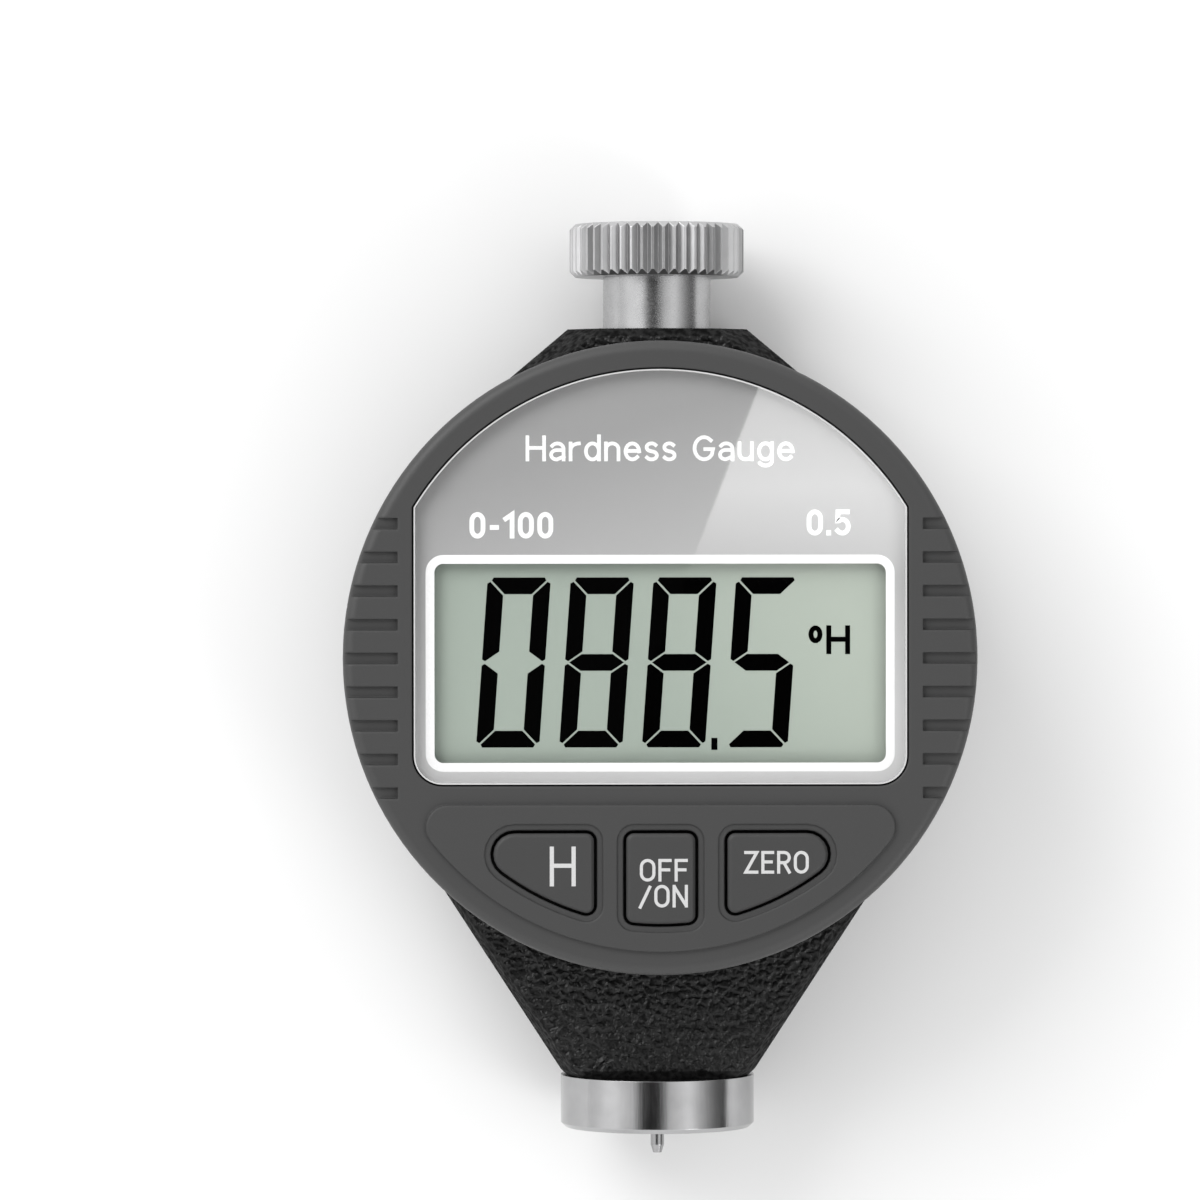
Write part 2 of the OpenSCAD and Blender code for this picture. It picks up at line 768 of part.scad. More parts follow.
module stem() color([0.78, 0.78, 0.79]) along_axis(neck_reach - spigot_h) difference() {
    union() {
        cylinder(h = spigot_h + slice, d = spigot_d);
        translate([0, 0, spigot_h]) cylinder(h = stem_h, d = stem_d);
    }
    translate([0, 0, -over]) cylinder(h = spigot_h + stem_h + 2 * over, d = knob_spigot_d + 2 * run_gap);
}

// Straight knurl: one pointed tooth with a small flat for each step round the knob
function knurl_points() = [
    for (i = [0 : knurl_count - 1], p = [[-0.5, knurl_depth], [-0.1, 0], [0.1, 0]])
        let (a = (i + p[0]) * 360 / knurl_count) (knob_d / 2 - p[1]) * [cos(a), sin(a)]
];

module thumb_knob() color([0.78, 0.78, 0.79]) along_axis(stem_top) {
    r = knob_d / 2;
    intersection() {
        linear_extrude(knob_h) polygon(knurl_points());
        rotate_extrude() polygon([
            [0, 0], [r - knob_edge, 0], [r, knob_edge],
            [r, knob_h - knob_edge], [r - knob_edge, knob_h], [0, knob_h]
        ]);
    }
    translate([0, 0, -knob_spigot_h]) cylinder(h = knob_spigot_h + slice, d = knob_spigot_d);
}

// Battery bay

module battery_cell() color([0.75, 0.75, 0.74]) translate([cell_x, cell_y, cell_z])
    cylinder(h = cell_t, d = cell_d);

// Slot for a contact strip at x, from z up through the holder's top
module contact_slot(x, z) translate([x - contact_t / 2 - drop_gap, -contact_w / 2 - drop_gap, z])
    cube([contact_t + 2 * drop_gap, contact_w + 2 * drop_gap, body_t]);

// Insulating cup over the cell, with slots for both contacts
module battery_holder() color([0.12, 0.12, 0.12]) translate([cell_x, cell_y, 0]) difference() {
    translate([0, 0, back_wall]) cylinder(h = holder_ceiling + holder_top_t - back_wall, d = holder_d);
    translate([0, 0, back_wall - over]) cylinder(h = holder_step - back_wall + over, d = holder_mouth_d);
    cylinder(h = holder_ceiling, d = cell_d + 2 * cell_gap);
    contact_slot(0, holder_ceiling - over);
    contact_slot(cell_d / 2 + cell_gap - contact_t / 2, holder_step);
}

// Strip beside the cell, up to the board
module positive_contact() color([0.8, 0.75, 0.6])
    translate([cell_x + cell_d / 2 + cell_gap - contact_t, cell_y - contact_w / 2, cell_z])
        cube([contact_t, contact_w, body_t - cell_z]);

// Sprung dish on top of the cell, with a tail up to the board
module negative_contact() color([0.8, 0.75, 0.6]) translate([cell_x, cell_y, cell_z + cell_t]) {
    cylinder(h = contact_room - contact_t + slice, d1 = contact_w, d2 = 2 * contact_w);
    translate([0, 0, contact_room - contact_t]) cylinder(h = contact_t, d = 2 * contact_w);
    translate([-contact_t / 2, -contact_w / 2, contact_room - contact_t])
        cube([contact_t, contact_w, body_t - cell_z - cell_t - contact_room + contact_t]);
}

// Bayonet lid with a coin slot, two lugs and a groove for its seal
module battery_lid() color([0.14, 0.14, 0.15]) translate([cell_x, cell_y, 0]) difference() {
    union() {
        translate([0, 0, lid_z]) cylinder(h = lid_t, d = lid_d);
        translate([0, 0, lid_z]) cylinder(h = lid_hub_top - lid_z, d = lid_hub_d);
        for (a = [90, 270]) rotate([0, 0, a - lug_angle / 2]) translate([0, 0, lug_z])
            rotate_extrude(angle = lug_angle) translate([lid_hub_d / 2 - over, 0])
                square([lug_r + over - lid_hub_d / 2, lug_t]);
    }
    translate([0, 0, seal_z - seal_wire / 2 - seat_gap]) rotate_extrude()
        translate([(seal_d - seal_wire) / 2 - drop_gap, 0]) square([seal_wire + 2 * drop_gap, lid_t]);
    translate([0, 0, lid_z]) cube([slot_length, slot_w, 2 * slot_depth], center = true);
}

module lid_seal() color([0.1, 0.1, 0.1]) translate([cell_x, cell_y, seal_z])
    rotate_extrude() translate([seal_d / 2, 0]) circle(d = seal_wire);

// Screws

// Slotted round-headed screw, head down, with the thread's base at z = 0
module screw(d, length, head_d, head_h) difference() {
    union() {
        translate([0, 0, -slice]) cylinder(h = length + slice, d = d);
        translate([0, 0, -head_h]) cylinder(h = head_h, d = head_d);
    }
    translate([0, 0, -head_h]) cube([head_d + over, drive_w, head_h], center = true);
}

module housing_screws() color([0.2, 0.2, 0.21]) at_screws() translate([0, 0, screw_seat])
    screw(screw_d, body_t + screw_bite - screw_seat, screw_head_d, screw_head_h);

module board_screws() color([0.6, 0.6, 0.62]) both_sides() translate([board_screw_x, board_screw_y, body_t])
    screw(board_screw_d, board_t + board_screw_bite, board_head_d, board_head_h);

rear_body();
front_housing();
display_lens();
display_mask();
lcd_panel();
lcd_frame();
zebra_strips();
circuit_board();
controller_chip();
hold_key();
power_key();
zero_key();
hold_dome();
power_dome();
zero_dome();
presser_foot();
lower_bush();
upper_bush();
spindle();
indenter();
stop_ring();
slider_carrier();
slider_board();
clamp_screw();
guide_pin();
measuring_spring();
spring_adjuster();
stem();
thumb_knob();
battery_cell();
battery_holder();
positive_contact();
negative_contact();
battery_lid();
lid_seal();
housing_screws();
board_screws();
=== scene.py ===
import math

import bmesh
import bpy
from mathutils import Matrix, Vector


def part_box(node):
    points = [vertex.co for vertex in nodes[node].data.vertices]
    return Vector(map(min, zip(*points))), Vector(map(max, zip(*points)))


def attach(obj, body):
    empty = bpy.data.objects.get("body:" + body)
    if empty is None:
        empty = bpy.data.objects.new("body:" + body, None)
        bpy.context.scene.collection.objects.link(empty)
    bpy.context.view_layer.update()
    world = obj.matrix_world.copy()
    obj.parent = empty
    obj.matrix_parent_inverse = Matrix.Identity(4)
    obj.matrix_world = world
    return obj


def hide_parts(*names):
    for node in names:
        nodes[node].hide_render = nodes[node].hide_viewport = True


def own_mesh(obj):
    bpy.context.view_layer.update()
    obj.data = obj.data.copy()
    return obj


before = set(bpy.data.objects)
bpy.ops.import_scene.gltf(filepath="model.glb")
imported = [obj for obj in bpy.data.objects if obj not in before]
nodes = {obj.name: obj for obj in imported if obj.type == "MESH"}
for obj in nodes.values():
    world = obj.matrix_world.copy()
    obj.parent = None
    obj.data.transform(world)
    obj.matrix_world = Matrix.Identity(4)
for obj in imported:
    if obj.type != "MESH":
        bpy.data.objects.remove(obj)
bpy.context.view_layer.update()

MM = 0.001
scene = bpy.context.scene


# Node helpers

def fill(node, values):
    for key, value in values.items():
        node.inputs[key].default_value = value


def grey(value):
    return (value, value, value)


def shades(colour, spread):
    """The colour a little darker and a little lighter."""
    dark = tuple(c * (1 - spread) for c in colour)
    light = tuple(c * (1 + spread) for c in colour)
    return dark, light


class Surface:
    """A Principled material whose colour, roughness and bump come from nodes, in millimetres of the frame."""

    def __init__(self, name, **sockets):
        self.mat = bpy.data.materials.new(name)
        self.mat.use_nodes = True
        self.tree = self.mat.node_tree
        self.bsdf = self.tree.nodes["Principled BSDF"]
        fill(self.bsdf, sockets)
        self.coords = self.add("ShaderNodeTexCoord")
        scaled = self.add("ShaderNodeVectorMath", operation="SCALE")
        scaled.inputs["Scale"].default_value = 1 / MM
        self.link(self.coords.outputs["Object"], scaled.inputs[0])
        self.place = scaled.outputs[0]

    def add(self, kind, **settings):
        node = self.tree.nodes.new(kind)
        for key, value in settings.items():
            setattr(node, key, value)
        return node

    def link(self, a, b):
        self.tree.links.new(a, b)

    def noise(self, scale, detail=3.0, rough=0.55, stretch=(1, 1, 1), distortion=0.0):
        stretched = self.add("ShaderNodeVectorMath", operation="MULTIPLY")
        self.link(self.place, stretched.inputs[0])
        stretched.inputs[1].default_value = stretch
        node = self.add("ShaderNodeTexNoise")
        self.link(stretched.outputs[0], node.inputs["Vector"])
        fill(node, {"Scale": scale, "Detail": detail, "Roughness": rough, "Distortion": distortion})
        return node.outputs["Fac"]

    def remap(self, value, low, high, start=0.3, end=0.7):
        node = self.add("ShaderNodeMapRange")
        self.link(value, node.inputs["Value"])
        fill(node, {"From Min": start, "From Max": end, "To Min": low, "To Max": high})
        return node.outputs["Result"]

    def blend(self, value, dark, light, start=0.3, end=0.7):
        ramp = self.add("ShaderNodeValToRGB")
        self.link(value, ramp.inputs["Fac"])
        for element, place, colour in zip(ramp.color_ramp.elements, (start, end), (dark, light)):
            element.position = place
            element.color = (*colour, 1)
        return ramp.outputs["Color"]

    def dot(self, vector, direction):
        node = self.add("ShaderNodeVectorMath", operation="DOT_PRODUCT")
        self.link(vector, node.inputs[0])
        node.inputs[1].default_value = direction
        return node.outputs["Value"]

    def along(self, direction):
        return self.dot(self.place, direction)

    def facing(self, direction):
        return self.dot(self.coords.outputs["Normal"], direction)

    def product(self, a, b):
        node = self.add("ShaderNodeMath", operation="MULTIPLY")
        self.link(a, node.inputs[0])
        self.link(b, node.inputs[1])
        return node.outputs[0]

    def total(self, base, extra, share):
        node = self.add("ShaderNodeMath", operation="MULTIPLY_ADD")
        self.link(extra, node.inputs[0])
        node.inputs[1].default_value = share
        self.link(base, node.inputs[2])
        return node.outputs[0]

    def occlusion_shade(self, reach):
        # Ambient occlusion within a reach, which paints shade into a colour.
        node = self.add("ShaderNodeAmbientOcclusion", samples=6)
        node.inputs["Distance"].default_value = reach * MM
        return node.outputs["AO"]

    def colour(self, output):
        self.link(output, self.bsdf.inputs["Base Color"])

    def roughness(self, output):
        self.link(output, self.bsdf.inputs["Roughness"])

    def relief(self, height, depth, strength, edge):
        """Bump of a depth in millimetres, over edges rounded by a radius."""
        bevel = self.add("ShaderNodeBevel", samples=6)
        bevel.inputs["Radius"].default_value = edge * MM
        bump = self.add("ShaderNodeBump")
        fill(bump, {"Strength": strength, "Distance": depth * MM})
        self.link(height, bump.inputs["Height"])
        self.link(bevel.outputs["Normal"], bump.inputs["Normal"])
        self.link(bump.outputs["Normal"], self.bsdf.inputs["Normal"])


def bare_material(name):
    """A material without its Principled node, with its tree and the socket that takes the surface."""
    mat = bpy.data.materials.new(name)
    mat.use_nodes = True
    tree = mat.node_tree
    tree.nodes.remove(tree.nodes["Principled BSDF"])
    return mat, tree, tree.nodes["Material Output"].inputs["Surface"]


# Materials

def wrinkle_paint():
    s = Surface("black_wrinkle_paint", **{"Specular IOR Level": 0.22})
    lumps = s.noise(1.85, detail=0.8, rough=0.4, distortion=0.3)
    patches = s.noise(0.35, detail=2)
    height = s.total(lumps, patches, share=0.2)
    # Painted shade: the colour follows the bump's height, near black in the wrinkles' valleys and lighter on
    # their crests.
    s.colour(s.blend(height, grey(0.0005), grey(0.0125), start=0.46, end=0.72))
    dull_sides = s.remap(s.facing((0, 0, 1)), 3.2, 1.0, start=0.8, end=0.97)
    s.roughness(s.product(s.remap(lumps, 0.32, 0.24), dull_sides))
    s.relief(height, depth=0.38, strength=1.0, edge=0.35)
    return s.mat


def moulding(name, level, edge):
    s = Surface(name, **{"Specular IOR Level": 0.5})
    grain = s.noise(9, detail=3)
    # Painted shade: the grey darkens where ambient occlusion finds notches, gaps and recesses.
    s.colour(s.blend(s.occlusion_shade(1.0), grey(level * 0.3), grey(level), start=0.4, end=0.88))
    s.roughness(s.remap(grain, 0.44, 0.6))
    s.relief(grain, depth=0.012, strength=0.6, edge=edge)
    return s.mat


def silver_print():
    s = Surface("silver_print", **{"Specular IOR Level": 0.15})
    flakes = s.noise(14, detail=2)
    # Painted light: the silver is darker towards the top and lighter towards the bottom and the right.
    painted_light_ramp = s.remap(s.along((0.35, -1, 0)), 0, 1, start=-22, end=11)
    s.colour(s.blend(painted_light_ramp, grey(0.335), grey(0.62), start=0.0, end=1.0))
    s.roughness(s.remap(flakes, 0.4, 0.55))
    return s.mat


def lcd_glass():
    s = Surface("lcd_glass", **{"Specular IOR Level": 0.1})
    # Painted light: the display is darker towards the lower left and lighter towards the upper right.
    painted_light_ramp = s.remap(s.along((1, 0.6, 0)), 0, 1, start=-2, end=20)
    s.colour(s.blend(painted_light_ramp, (0.372, 0.426, 0.376), (0.46, 0.51, 0.45), start=0.0, end=1.0))
    s.roughness(s.remap(s.noise(10), 0.4, 0.5))
    return s.mat


def clear_lens():
    """Clear from inside, and glossy by Fresnel on its outer side."""
    mat, tree, surface = bare_material("clear_lens")
    clear = tree.nodes.new("ShaderNodeBsdfTransparent")
    clear.inputs["Color"].default_value = (0.99, 0.99, 0.99, 1)
    gloss = tree.nodes.new("ShaderNodeBsdfGlossy")
    gloss.inputs["Roughness"].default_value = 0.012
    fresnel = tree.nodes.new("ShaderNodeFresnel")
    fresnel.inputs["IOR"].default_value = 1.9
    sides = tree.nodes.new("ShaderNodeNewGeometry")
    outer = tree.nodes.new("ShaderNodeMath")
    outer.operation = "SUBTRACT"
    outer.use_clamp = True
    mix = tree.nodes.new("ShaderNodeMixShader")
    tree.links.new(fresnel.outputs[0], outer.inputs[0])
    tree.links.new(sides.outputs["Backfacing"], outer.inputs[1])
    tree.links.new(outer.outputs[0], mix.inputs[0])
    tree.links.new(clear.outputs[0], mix.inputs[1])
    tree.links.new(gloss.outputs[0], mix.inputs[2])
    tree.links.new(mix.outputs[0], surface)
    return mat


def satin_metal(name, level, rough, stretch=(1, 1, 1), depth=0.0004):
    s = Surface(name, Metallic=1.0)
    pits = s.noise(5, detail=4, rough=0.65, stretch=stretch)
    cloud = s.noise(0.35, detail=3)
    s.colour(s.blend(cloud, *shades((level, level, level * 1.01), 0.07)))
    s.roughness(s.remap(pits, rough - 0.03, rough + 0.05))
    s.relief(pits, depth, strength=0.5, edge=0.08)
    return s.mat


def simple(name, colour, rough, metal=0.0, scale=2.0, edge=0.06):
    s = Surface(name, Metallic=metal)
    grain = s.noise(scale, detail=4)
    s.colour(s.blend(grain, *shades(colour, 0.1)))
    s.roughness(s.remap(grain, rough - 0.06, rough + 0.08))
    s.relief(grain, depth=0.01, strength=0.5, edge=edge)
    return s.mat


def printed(name, colour, rough=0.5, gloss=0.1):
    s = Surface(name, **{"Specular IOR Level": gloss})
    grain = s.noise(6)
    s.colour(s.blend(grain, *shades(colour, 0.04)))
    s.roughness(s.remap(grain, rough - 0.05, rough + 0.05))
    return s.mat


BRUSHED = (1, 0.04, 1)
DRESS = {
    wrinkle_paint(): ["rear_body"],
    moulding("grey_moulding", 0.0322, 0.32): ["front_housing"],
    moulding("grey_keys", 0.0287, 0.25): ["hold_key", "power_key", "zero_key"],
    clear_lens(): ["display_lens"],
    silver_print(): ["display_mask"],
    lcd_glass(): ["lcd_panel"],
    satin_metal("turned_steel_foot", 0.41, 0.16, BRUSHED, depth=0.009): ["presser_foot"],
    satin_metal("turned_stem", 0.44, 0.25, depth=0.0015): ["stem"],
    satin_metal("knurled_knob", 0.47, 0.31, depth=0.003): ["thumb_knob"],
    satin_metal("ground_steel", 0.34, 0.2): ["indenter", "spindle", "stop_ring", "guide_pin"],
    simple("spring_steel", (0.4, 0.4, 0.41), 0.3, metal=1.0): ["measuring_spring"],
    simple("black_screws", (0.09, 0.09, 0.095), 0.38, metal=1.0): ["housing_screws"],
    simple("zinc_screws", grey(0.6), 0.35, metal=1.0): ["board_screws", "clamp_screw"],
    simple("brass", (0.62, 0.44, 0.18), 0.32, metal=1.0): [
        "lower_bush", "upper_bush", "slider_carrier", "spring_adjuster"],
    simple("plated_sheet", (0.7, 0.68, 0.62), 0.28, metal=1.0): [
        "hold_dome", "power_dome", "zero_dome", "positive_contact", "negative_contact", "battery_cell"],
    simple("green_board", (0.02, 0.13, 0.06), 0.4): ["circuit_board", "slider_board"],
    simple("black_plastic", (0.018, 0.018, 0.019), 0.5, scale=5): [
        "lcd_frame", "controller_chip", "battery_holder"],
    simple("lid_plastic", (0.022, 0.022, 0.023), 0.48, scale=5, edge=0.15): ["battery_lid"],
    simple("elastomer", (0.5, 0.28, 0.3), 0.6): ["zebra_strips"],
    simple("seal_rubber", grey(0.015), 0.7): ["lid_seal"],
}
SMOOTH_ANGLE = math.radians(28)
for mat, names in DRESS.items():
    for name in names:
        mesh = nodes[name].data
        mesh.materials.clear()
        mesh.materials.append(mat)
        mesh.shade_smooth()
        mesh.set_sharp_from_angle(angle=SMOOTH_ANGLE)


# Objects and flat shapes, in millimetres

def put(name, data):
    obj = bpy.data.objects.new(name, data)
    scene.collection.objects.link(obj)
    return obj


def mesh_from(name, bm, mat):
    mesh = bpy.data.meshes.new(name)
    bm.to_mesh(mesh)
    bm.free()
    mesh.materials.append(mat)
    return mesh


def piece(name, bm, mat, body):
    bmesh.ops.recalc_face_normals(bm, faces=bm.faces)
    obj = put(name, mesh_from(name, bm, mat))
    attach(obj, body)


def loop_at(bm, points, z):
    return [bm.verts.new((x * MM, y * MM, z * MM)) for x, y in points]


def wall(bm, a, b):
    for i in range(len(a)):
        j = (i + 1) % len(a)
        bm.faces.new((a[i], a[j], b[j], b[i]))


def prism(bm, points, z0, z1):
    low = loop_at(bm, points, z0)
    high = loop_at(bm, points, z1)
    bm.faces.new(high)
    bm.faces.new(low[::-1])
    wall(bm, low, high)


def ring_prism(bm, outer, inner, z0, z1):
    edges = ((outer, z0), (outer, z1), (inner, z1), (inner, z0))
    loops = [loop_at(bm, points, z) for points, z in edges]
    for a, b in zip(loops, loops[1:] + loops[:1]):
        wall(bm, a, b)


def bow(x, y, rx, ry, start, end, count=14):
    turns = [math.radians(start + (end - start) * i / count) for i in range(count + 1)]
    return [(x + rx * math.cos(t), y + ry * math.sin(t)) for t in turns]


def arc(x, y, r, start, end, count):
    return bow(x, y, r, r, start, end, count)


def rounded_rect(x0, y0, x1, y1, r, count=8):
    corners = ((x1 - r, y0 + r, -90), (x1 - r, y1 - r, 0), (x0 + r, y1 - r, 90), (x0 + r, y0 + r, 180))
    return [p for x, y, a in corners for p in arc(x, y, r, a, a + 90, count)]


# Letters as a width and the paths of their strokes, for a capital one unit tall

def round_letter(w):
    return bow(w / 2, 0.68, w / 2, 0.32, 0, 180) + bow(w / 2, 0.32, w / 2, 0.32, 180, 360) + [(w, 0.68)]


BOWL = bow(0.22, 0.36, 0.22, 0.36, 0, 360, 24)
LETTERS = {
    " ": (0.2, []),
    "-": (0.26, [[(0.04, 0.4), (0.22, 0.4)]]),
    ".": (0.0, [[(0, 0), (0, 0.03)]]),
    "/": (0.42, [[(0, -0.06), (0.42, 0.96)]]),
    "°": (0.27, [bow(0.135, 0.73, 0.135, 0.27, 0, 360)]),
    "0": (0.46, [round_letter(0.46)]),
    "1": (0.26, [[(0, 0.8), (0.26, 1), (0.26, 0)]]),
    "5": (0.46, [[(0.42, 1), (0.05, 1), (0.03, 0.57)] + bow(0.22, 0.32, 0.24, 0.32, 128, -140)]),
    "E": (0.44, [[(0.44, 1), (0, 1), (0, 0), (0.44, 0)], [(0, 0.52), (0.38, 0.52)]]),
    "F": (0.44, [[(0.44, 1), (0, 1), (0, 0)], [(0, 0.52), (0.38, 0.52)]]),
    "G": (0.62, [bow(0.32, 0.5, 0.32, 0.5, 45, 325) + [(0.62, 0.46), (0.36, 0.46)]]),
    "H": (0.56, [[(0, 0), (0, 1)], [(0.56, 0), (0.56, 1)], [(0, 0.52), (0.56, 0.52)]]),
    "N": (0.54, [[(0, 0), (0, 1)], [(0.54, 0), (0.54, 1)], [(0.03, 0.95), (0.51, 0.05)]]),
    "O": (0.54, [round_letter(0.54)]),
    "R": (0.48, [[(0, 0), (0, 1)],
                 [(0.05, 1)] + bow(0.24, 0.74, 0.24, 0.26, 90, -90) + [(0.05, 0.48)],
                 [(0.26, 0.44), (0.48, 0)]]),
    "Z": (0.5, [[(0, 1), (0.5, 1), (0, 0), (0.5, 0)]]),
    "a": (0.42, [[(0.42, 0)] + bow(0.21, 0.47, 0.21, 0.25, 0, 145),
                 [(0.42, 0.42)] + bow(0.19, 0.21, 0.19, 0.21, 90, 270) + [(0.42, 0.13)]]),
    "d": (0.44, [[(0.44, 0), (0.44, 1.04)], BOWL]),
    "e": (0.46, [bow(0.23, 0.36, 0.23, 0.36, 0, 315), [(0.05, 0.38), (0.41, 0.38)]]),
    "g": (0.44, [[(0.44, 0.72)] + bow(0.22, -0.06, 0.22, 0.22, 0, -150), BOWL]),
    "n": (0.42, [[(0, 0), (0, 0.72)], bow(0.21, 0.46, 0.21, 0.26, 180, 0) + [(0.42, 0)]]),
    "r": (0.28, [[(0, 0), (0, 0.72)], bow(0.29, 0.42, 0.29, 0.3, 180, 92)]),
    "s": (0.36, [bow(0.18, 0.545, 0.165, 0.175, 35, 260) + bow(0.18, 0.18, 0.18, 0.18, 80, -148)]),
    "u": (0.42, [[(0.42, 0), (0.42, 0.72)], [(0, 0.72)] + bow(0.21, 0.26, 0.21, 0.26, 180, 360)]),
}
SPACING = 0.13
INK = 0.006
LAYER = 0.0008
SHARPEST_MITRE = 0.4
SAME_POINT = 1e-6


def ribbon(bm, path, weight, z0, z1):
    """A flat stroke along a path, mitred at its corners and square at its ends."""
    path = [Vector(p) for p in path]
    closed = (path[0] - path[-1]).length < SAME_POINT
    if closed:
        path.pop()
    else:
        path[0] += (path[0] - path[1]).normalized() * weight / 2
        path[-1] += (path[-1] - path[-2]).normalized() * weight / 2
    count = len(path)
    sides = [(path[(i + 1) % count] - path[i]).normalized() for i in range(count)]
    rails = []
    for i, p in enumerate(path):
        ahead = sides[i] if closed or i < count - 1 else sides[i - 1]
        behind = sides[i - 1] if closed or i else ahead
        mid = (ahead + behind).normalized()
        reach = weight / 2 / max(mid.dot(ahead), SHARPEST_MITRE)
        out = Vector((-mid.y, mid.x)) * reach
        corners = ((p + out, z0), (p - out, z0), (p - out, z1), (p + out, z1))
        rails.append([bm.verts.new((q.x * MM, q.y * MM, z * MM)) for q, z in corners])
    for i in range(count if closed else count - 1):
        a, b = rails[i], rails[(i + 1) % count]
        for k in range(4):
            bm.faces.new((a[k], b[k], b[k - 1], a[k - 1]))
    if not closed:
        bm.faces.new(rails[0])
        bm.faces.new(rails[-1][::-1])


def add_word(bm, word, x0, x1, base, capital, weight, level):
    """A word from x0 to x1 on a base line; crossing strokes lie a layer above each other."""
    widths = [LETTERS[c][0] for c in word]
    gap = SPACING * capital
    rise = capital - weight
    stretch = (x1 - x0 - len(word) * weight - (len(word) - 1) * gap) / sum(widths)
    x = x0 + weight / 2
    for c, width in zip(word, widths):
        for k, path in enumerate(LETTERS[c][1]):
            points = [(x + px * stretch, base + weight / 2 + py * rise) for px, py in path]
            ribbon(bm, points, weight, level - INK, level + INK + k * LAYER)
        x += width * stretch + weight + gap


# Levels from the frame

def top_of(name):
    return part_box(name)[1].z / MM


mask_top = top_of("display_mask")
lcd_top = top_of("lcd_panel")
lens_top = top_of("display_lens")
white_ink = printed("white_ink", grey(0.93))
grey_ink = printed("grey_ink", grey(0.5))
black_ink = printed("display_black", grey(0.0008), gloss=0.0)

# White print on the back of the lens: a line round the window, a title and two numbers
WINDOW = (-20.49, -9.52, 20.49, 8.56)
WINDOW_CORNER = 0.8
LINE = 0.8
LENS_WORDS = (
    ("Hardness Gauge", -12.2, 12.2, 17.85, 2.35, 0.33),
    ("0-100", -17.3, -9.7, 10.85, 2.4, 0.43),
    ("0.5", 13.3, 17.3, 11.1, 2.36, 0.43),
)
x0, y0, x1, y1 = WINDOW
line_outer = rounded_rect(x0 - LINE, y0 - LINE, x1 + LINE, y1 + LINE, WINDOW_CORNER + LINE)
line_inner = rounded_rect(x0, y0, x1, y1, WINDOW_CORNER)
bm = bmesh.new()
ring_prism(bm, line_outer, line_inner, mask_top - INK, mask_top + INK)
for word in LENS_WORDS:
    add_word(bm, *word, mask_top)
piece("lens_print", bm, white_ink, "gauge")

# Display segments
LEAN = math.tan(math.radians(4))
DIGIT_W, DIGIT_H = 5.75, 15.46
STROKE, SPLIT, CUT = 1.52, 0.12, 0.55
TIP, TIP_SLOPE, TIP_DROP = 0.28, 0.71, 0.17
MIDDLE_GAP, MIDDLE_RISE = 0.11, 0.08
DIGITS = (("abcdef", -16.74), ("abcdefg", -9.18), ("abcdefg", -1.66), ("acdfg", 5.85))
DIGIT_BASE = -8.16
POINT = ((4.66, -8.4), (5.22, -8.4), (5.22, -7.3), (4.66, -7.3))
UNIT = ("°H", 13.5, 17.3, 0.3, 2.62, 0.46)


def segment_shapes():
    """Outlines of the seven segments a to g of one upright digit."""
    w, h, m, t = DIGIT_W, DIGIT_H, DIGIT_H / 2, STROKE
    half_cut = CUT / 2
    near = TIP + MIDDLE_GAP
    far = TIP + (t / 2 + MIDDLE_RISE) / TIP_SLOPE

    def flip_x(points):
        return [(w - x, y) for x, y in points]

    def flip_y(points):
        return [(x, h - y) for x, y in points]

    left_up = [
        (0, m + SPLIT + TIP_DROP), (TIP, m + SPLIT), (t, m + SPLIT + (t - TIP) * TIP_SLOPE),
        (t, h - t - SPLIT), (half_cut, h - half_cut - SPLIT), (0, h - CUT),
    ]
    top = [
        (CUT, h), (half_cut + SPLIT, h - half_cut), (t + SPLIT, h - t),
        (w - t - SPLIT, h - t), (w - half_cut - SPLIT, h - half_cut), (w - CUT, h),
    ]
    middle = [
        (near, m), (far, m + t / 2), (w - far, m + t / 2),
        (w - near, m), (w - far, m - t / 2), (far, m - t / 2),
    ]
    return {
        "a": top, "b": flip_x(left_up), "c": flip_x(flip_y(left_up)), "d": flip_y(top),
        "e": flip_y(left_up), "f": left_up, "g": middle,
    }


bm = bmesh.new()
shapes = segment_shapes()
for lit, x in DIGITS:
    for key in lit:
        points = [(x + px + LEAN * py, DIGIT_BASE + py) for px, py in shapes[key]]
        prism(bm, points, lcd_top - INK, lcd_top + INK)
prism(bm, POINT, lcd_top - INK, lcd_top + INK)
add_word(bm, *UNIT, lcd_top)
piece("display_segments", bm, black_ink, "gauge")

# Key legends
KEY_WORDS = {
    "hold": (("H", -10.05, -7.7, -20.62, 3.6, 0.38),),
    "power": (("OFF", -1.9, 2.45, -20.2, 2.05, 0.28), ("/ON", -2.0, 2.45, -22.55, 2.05, 0.28)),
    "zero": (("ZERO", 7.55, 13.4, -19.5, 2.06, 0.28),),
}
for key, words in KEY_WORDS.items():
    bm = bmesh.new()
    for word in words:
        add_word(bm, *word, top_of(key + "_key"))
    piece(key + "_legend", bm, grey_ink, key + "_button")

# Painted highlight: a light grey ring round the lens, from the mask to the lens's top, for the lit edge of
# the clear lens
LENS_R, LENS_HALF, LENS_LOW, LENS_CORNER = 26.2, 22.35, -11.45, 2.6
EDGE_OUTER, EDGE_INNER = 0.01, 0.13


def lens_outline(inset):
    r = LENS_R - inset
    half = LENS_HALF - inset
    low = LENS_LOW + inset
    corner = LENS_CORNER - inset
    a = math.degrees(math.acos(half / r))
    return (
        arc(0, 0, r, a, 180 - a, 64)
        + arc(-half + corner, low + corner, corner, 180, 270, 10)
        + arc(half - corner, low + corner, corner, 270, 360, 10)
    )


bm = bmesh.new()
ring_prism(bm, lens_outline(EDGE_OUTER), lens_outline(EDGE_INNER), mask_top + INK, lens_top + INK)
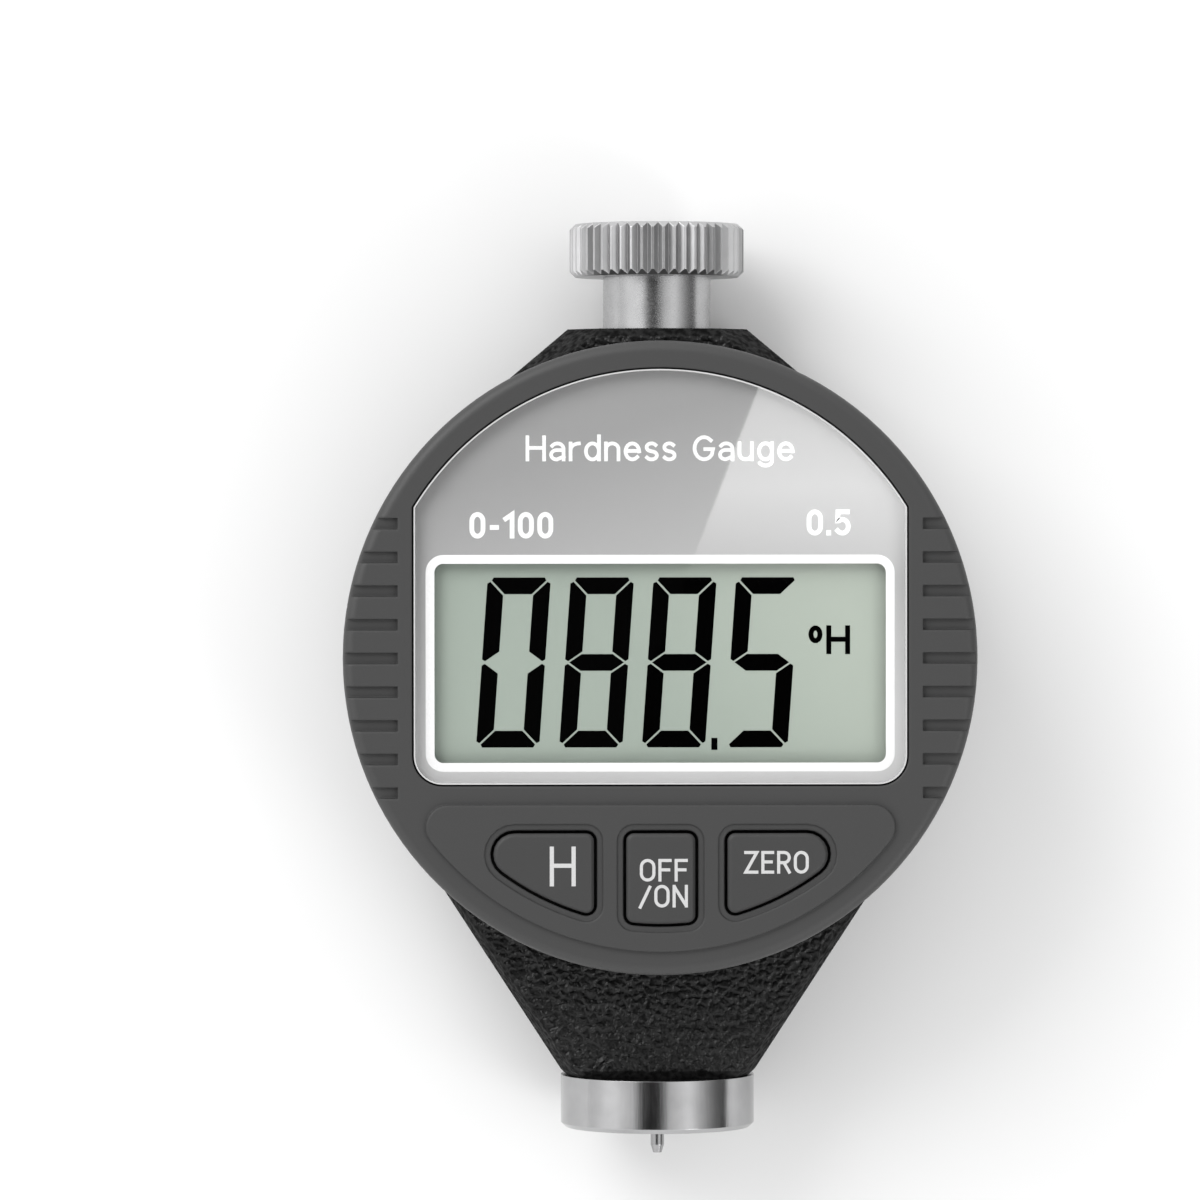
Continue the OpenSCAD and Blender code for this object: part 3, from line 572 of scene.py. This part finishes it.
# Painted highlight: the ring's light grey stands in for the lit edge of the clear lens.
piece("lens_edge_highlight", bm, printed("lens_edge_highlight", grey(0.52), rough=0.25), "gauge")


# The spring and the domes are shown by copies of their own, fixed to the gauge, in place of the parts

def flexing(node, axis):
    low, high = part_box(node)
    source = nodes[node]
    obj = put(node + "_flexing", source.data.copy())
    obj.matrix_world = source.matrix_world.copy()
    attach(obj, "gauge")
    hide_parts(node)
    length = (high - low).dot(Vector(axis)) / MM
    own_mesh(obj)


flexing("measuring_spring", (0, 1, 0))
for key in KEY_WORDS:
    flexing(key + "_dome", (0, 0, 1))


# Floor, just under the flat back

FLOOR_HALF = 2000
FLOOR_DROP = 0.02


def floor():
    s = Surface("pale_floor", **{"Specular IOR Level": 0.1})
    s.colour(s.blend(s.noise(0.01), grey(0.77), grey(0.79)))
    s.roughness(s.remap(s.noise(0.5), 0.75, 0.85))
    bm = bmesh.new()
    corners = ((-1, -1), (1, -1), (1, 1), (-1, 1))
    bm.faces.new(loop_at(bm, [(x * FLOOR_HALF, y * FLOOR_HALF) for x, y in corners], -FLOOR_DROP))
    put("floor", mesh_from("floor", bm, s.mat))


floor()


# Lights: a large key from the upper left and a weak one that gives the paint its glints

def area_light(name, place, target, size, power):
    data = bpy.data.lights.new(name, "AREA")
    data.energy = power
    data.size = size * MM
    obj = put(name, data)
    obj.location = Vector(place) * MM
    obj.rotation_mode = "QUATERNION"
    obj.rotation_quaternion = (Vector(target) - Vector(place)).to_track_quat("-Z", "Y")


area_light("key_left", (-380, 390, 470), target=(0, 0, 20), size=440, power=2.75)
area_light("glint_right", (430, -330, 460), target=(0, -20, 15), size=220, power=0.7)

# The sky is a bright tent, dark above the camera and dim low at the sides
SKY_LEVEL = 1.38
HOLE, RIGHT, LEFT = (-0.14, 0.0, 0.99), (1, 0, 0), (-1, 0, 0)
SKY_STEPS = (
    (HOLE, 0.93, 0.98, 0.01),
    (HOLE, 0.7, 0.98, 0.6),
    (RIGHT, 0.6, 0.99, 0.08),
    (LEFT, 0.9, 1.0, 0.7),
)


def studio_sky():
    world = bpy.data.worlds.new("studio")
    scene.world = world
    world.use_nodes = True
    tree = world.node_tree
    background = tree.nodes["Background"]
    fill(background, {"Color": (1.0, 1.0, 1.0, 1)})
    coords = tree.nodes.new("ShaderNodeTexCoord")
    strength = None
    for direction, start, end, share in SKY_STEPS:
        side = tree.nodes.new("ShaderNodeVectorMath")
        side.operation = "DOT_PRODUCT"
        side.inputs[1].default_value = direction
        tree.links.new(coords.outputs["Generated"], side.inputs[0])
        step = tree.nodes.new("ShaderNodeMapRange")
        fill(step, {"From Min": start, "From Max": end, "To Min": 1.0, "To Max": share})
        tree.links.new(side.outputs["Value"], step.inputs["Value"])
        product = tree.nodes.new("ShaderNodeMath")
        product.operation = "MULTIPLY"
        product.inputs[1].default_value = SKY_LEVEL
        tree.links.new(step.outputs["Result"], product.inputs[0])
        if strength:
            tree.links.new(strength, product.inputs[1])
        strength = product.outputs[0]
    tree.links.new(strength, background.inputs["Strength"])


studio_sky()

# Softbox behind the camera, whose straight edge shows in the lens and which fades out towards the display
SOFTBOX = ((-10.9, -97.0), (95.0, -97.0), (95.0, 54.0), (46.73, 54.0))
SOFTBOX_Z = 1000
SOFTBOX_FADE = (-2, 20)
SOFTBOX_GLOW = 3.3


def softbox():
    mat, tree, surface = bare_material("softbox")
    coords = tree.nodes.new("ShaderNodeTexCoord")
    axes = tree.nodes.new("ShaderNodeSeparateXYZ")
    fade = tree.nodes.new("ShaderNodeMapRange")
    glow = tree.nodes.new("ShaderNodeEmission")
    start, end = SOFTBOX_FADE
    fill(fade, {"From Min": start * MM, "From Max": end * MM, "To Min": 0.0, "To Max": SOFTBOX_GLOW})
    tree.links.new(coords.outputs["Object"], axes.inputs[0])
    tree.links.new(axes.outputs["Y"], fade.inputs["Value"])
    tree.links.new(fade.outputs["Result"], glow.inputs["Strength"])
    tree.links.new(glow.outputs[0], surface)
    bm = bmesh.new()
    bm.faces.new(loop_at(bm, SOFTBOX, SOFTBOX_Z)[::-1])
    obj = put("softbox", mesh_from("softbox", bm, mat))
    obj.visible_camera = False
    obj.visible_diffuse = False
    obj.visible_shadow = False


softbox()

# Camera
CAMERA = Vector((-11.5, 12.8, 608.9))
TARGET = Vector((-5.3, 5.06, 9.2))
ROLL = math.radians(-0.05)
data = bpy.data.cameras.new("camera")
data.sensor_width = 36.0
data.lens = 193.1
data.clip_start = 0.01
camera = put("camera", data)
back = (CAMERA - TARGET).normalized()
right = Vector((0, 1, 0)).cross(back).normalized()
up = back.cross(right)
turn = Matrix((right, up, back)).transposed().to_4x4() @ Matrix.Rotation(ROLL, 4, "Z")
camera.matrix_world = Matrix.Translation(CAMERA * MM) @ turn
scene.camera = camera
scene.view_settings.view_transform = "Standard"
